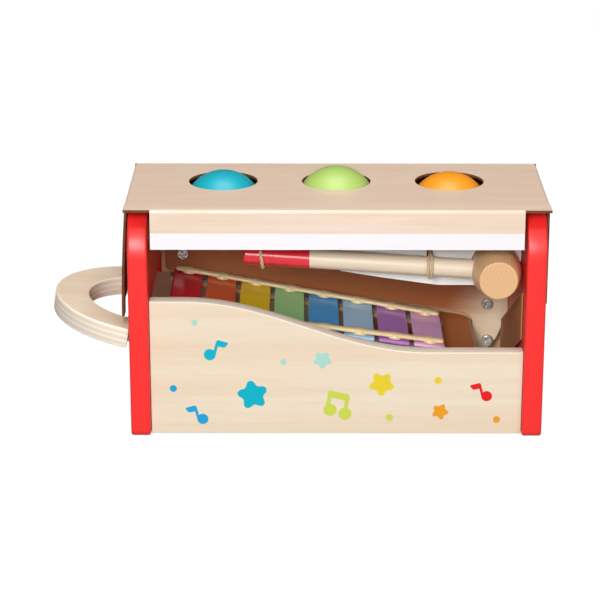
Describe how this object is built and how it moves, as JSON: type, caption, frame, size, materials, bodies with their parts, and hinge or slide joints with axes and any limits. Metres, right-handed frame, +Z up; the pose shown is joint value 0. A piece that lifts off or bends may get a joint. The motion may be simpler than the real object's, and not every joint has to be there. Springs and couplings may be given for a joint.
{
  "type": "toy hammer bench with slide-out xylophone",
  "caption": "Wooden toy bench with balls to hammer through its top, a xylophone on a tray that slides out by a ring handle, a mallet and a card sleeve.",
  "frame": {"origin": "on the floor, under the middle of the whole toy's bounding box, ring handle included", "axes": "+X along the bench to the side away from the ring handle, +Y from its open front to its back, +Z up"},
  "size_m": [0.3033, 0.1318, 0.153],
  "materials": {
    "red_lacquer": "gloss red lacquer on wood",
    "birch_plywood": "clear matt lacquer on pale plywood",
    "plain_wood": "sanded, unfinished",
    "waxed_wood": "clear satin lacquer",
    "strip_wood": "clear satin lacquer",
    "black_rubber": "matt",
    "grey_felt": "felt",
    "zinc_steel": "zinc-plated",
    "printed_card": "printed with a wood pattern, satin varnish",
    "kraft_card": "bare brown card",
    "grey_card": "pale grey card",
    "cotton_twine": "twisted twine",
    "cyan_paint": "satin paint on wood",
    "lime_paint": "satin paint on wood",
    "orange_paint": "satin paint on wood",
    "red_enamel": "gloss enamel on steel",
    "orange_enamel": "gloss enamel on steel",
    "yellow_enamel": "gloss enamel on steel",
    "green_enamel": "gloss enamel on steel",
    "blue_enamel": "gloss enamel on steel",
    "light_blue_enamel": "gloss enamel on steel",
    "purple_enamel": "gloss enamel on steel",
    "lilac_enamel": "gloss enamel on steel"
  },
  "bodies": {
    "bench": {"left_side_panel": "red_lacquer", "right_side_panel": "red_lacquer", "front_panel": "birch_plywood", "guide_wall": "birch_plywood", "back_board": "plain_wood", "top_board": "plain_wood", "tray_runner_front": "plain_wood", "tray_runner_rear": "plain_wood", "dowel_front_left": "plain_wood", "dowel_front_right": "plain_wood", "dowel_board_left": "plain_wood", "dowel_board_right": "plain_wood", "wall_screw_left": "zinc_steel", "wall_screw_right": "zinc_steel", "wall_screw_foot": "zinc_steel", "ball_ring_left": "black_rubber", "ball_ring_middle": "black_rubber", "ball_ring_right": "black_rubber", "card_brace": "kraft_card"},
    "xylophone": {"tray": "birch_plywood", "key_rail_front": "plain_wood", "key_rail_rear": "plain_wood", "felt_strip_front": "grey_felt", "felt_strip_rear": "grey_felt", "key_strip_front": "strip_wood", "key_strip_rear": "strip_wood", "key_red": "red_enamel", "key_orange": "orange_enamel", "key_yellow": "yellow_enamel", "key_green": "green_enamel", "key_blue": "blue_enamel", "key_light_blue": "light_blue_enamel", "key_purple": "purple_enamel", "key_lilac": "lilac_enamel", "screw_red_front": "zinc_steel", "screw_red_rear": "zinc_steel", "screw_orange_front": "zinc_steel", "screw_orange_rear": "zinc_steel", "screw_yellow_front": "zinc_steel", "screw_yellow_rear": "zinc_steel", "screw_green_front": "zinc_steel", "screw_green_rear": "zinc_steel", "screw_blue_front": "zinc_steel", "screw_blue_rear": "zinc_steel", "screw_light_blue_front": "zinc_steel", "screw_light_blue_rear": "zinc_steel", "screw_purple_front": "zinc_steel", "screw_purple_rear": "zinc_steel", "screw_lilac_front": "zinc_steel", "screw_lilac_rear": "zinc_steel"},
    "ball_left": {"ball_left": "cyan_paint"},
    "ball_middle": {"ball_middle": "lime_paint"},
    "ball_right": {"ball_right": "orange_paint"},
    "mallet": {"mallet_head": "waxed_wood", "mallet_handle": "waxed_wood", "tie_left": "cotton_twine", "tie_right": "cotton_twine", "mallet_card": "grey_card"},
    "sleeve": {"card_sleeve": "printed_card"}
  },
  "joints": [
    {"name": "tray_slide", "type": "slide", "parent": "bench", "child": "xylophone", "axis": [-0.9894, 0, 0.1454], "range_m": [0, 0.225]},
    {"name": "ball_left_drop", "type": "slide", "parent": "bench", "child": "ball_left", "axis": [0, 0, -1], "range_m": [0, 0.0325]},
    {"name": "ball_middle_drop", "type": "slide", "parent": "bench", "child": "ball_middle", "axis": [0, 0, -1], "range_m": [0, 0.0455]},
    {"name": "ball_right_drop", "type": "slide", "parent": "bench", "child": "ball_right", "axis": [0, 0, -1], "range_m": [0, 0.052]},
    {"name": "mallet_out", "type": "slide", "parent": "bench", "child": "mallet", "axis": [0, -1, 0], "range_m": [0, 0.12]},
    {"name": "sleeve_lift", "type": "slide", "parent": "bench", "child": "sleeve", "axis": [0, 0, 1], "range_m": [0, 0.16]}
  ]
}
